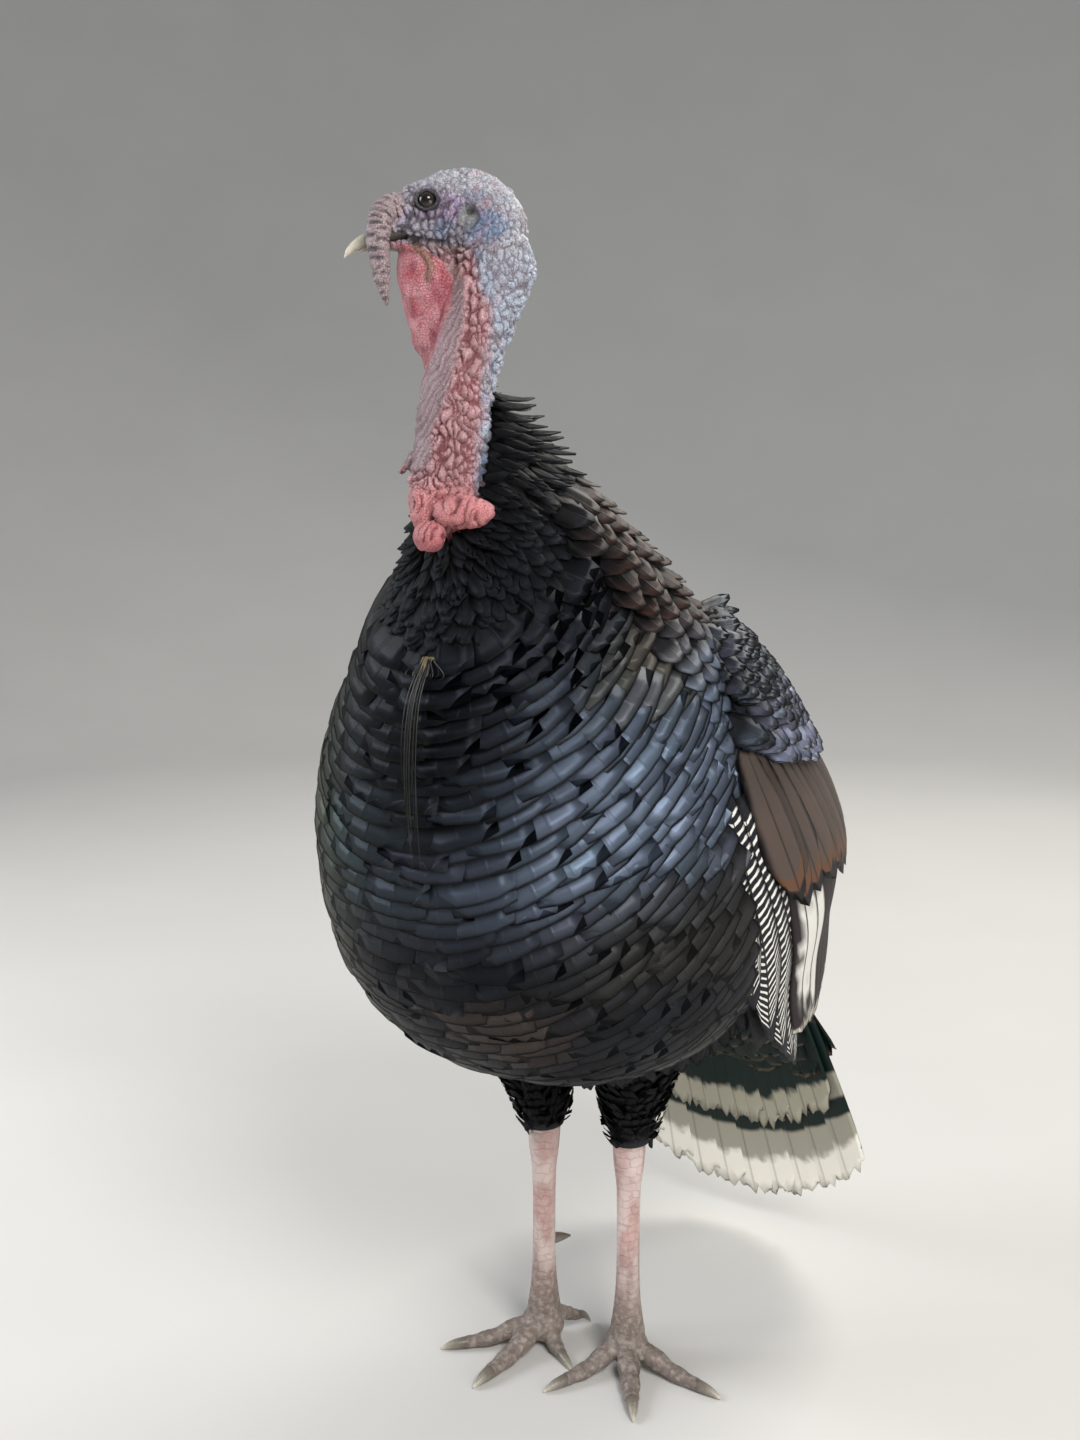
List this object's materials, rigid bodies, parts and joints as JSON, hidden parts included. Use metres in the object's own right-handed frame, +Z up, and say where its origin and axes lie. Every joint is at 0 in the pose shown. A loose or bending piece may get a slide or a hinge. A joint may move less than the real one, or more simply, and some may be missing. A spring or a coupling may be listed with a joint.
{
  "type": "turkey, bronze-coloured tom",
  "caption": "Still life-size display model of a turkey tom standing upright, head turned to its right, wings folded, tail lowered.",
  "frame": {"origin": "on the floor under the middle of the bird's bounding box", "axes": "+Z up, the body faces -Y, the bird's left side is +X; the head is turned towards the bird's right"},
  "size_m": [0.3452, 0.5396, 0.9411],
  "materials": {
    "feather": "dark slate feathers with a blue-green and bronze gloss",
    "barred_feather": "flight feathers barred black and white",
    "tail_feather": "dark glossy tail feathers with tan bands and cream tips",
    "head_skin": "bare wrinkled skin, pale blue and lilac",
    "red_flesh": "bare fleshy skin, pink to coral red",
    "leg_scale": "scaly skin, pink shanks and grey-brown toes",
    "horn": "smooth horn",
    "eye": "wet glossy dark brown"
  },
  "bodies": {
    "root": {"beard": "feather", "bill_lower": "horn", "bill_upper": "horn", "caruncle_front": "red_flesh", "caruncle_left": "red_flesh", "caruncle_right": "red_flesh", "claw_left_hind": "horn", "claw_left_inner": "horn", "claw_left_middle": "horn", "claw_left_outer": "horn", "claw_right_hind": "horn", "claw_right_inner": "horn", "claw_right_middle": "horn", "claw_right_outer": "horn", "eye_left": "eye", "eye_right": "eye", "foot_left": "leg_scale", "foot_right": "leg_scale", "head": "head_skin", "neck": "head_skin", "neck_base": "feather", "shank_left": "leg_scale", "shank_right": "leg_scale", "snood": "head_skin", "spur_left": "horn", "spur_right": "horn", "tail": "tail_feather", "tail_coverts_under": "tail_feather", "tail_coverts_upper": "tail_feather", "thigh_left": "feather", "thigh_right": "feather", "toe_left_hind": "leg_scale", "toe_left_inner": "leg_scale", "toe_left_middle": "leg_scale", "toe_left_outer": "leg_scale", "toe_right_hind": "leg_scale", "toe_right_inner": "leg_scale", "toe_right_middle": "leg_scale", "toe_right_outer": "leg_scale", "trunk": "feather", "wattle": "red_flesh", "wing_left": "feather", "wing_left_flight": "barred_feather", "wing_right": "feather", "wing_right_flight": "barred_feather"}
  },
  "joints": []
}
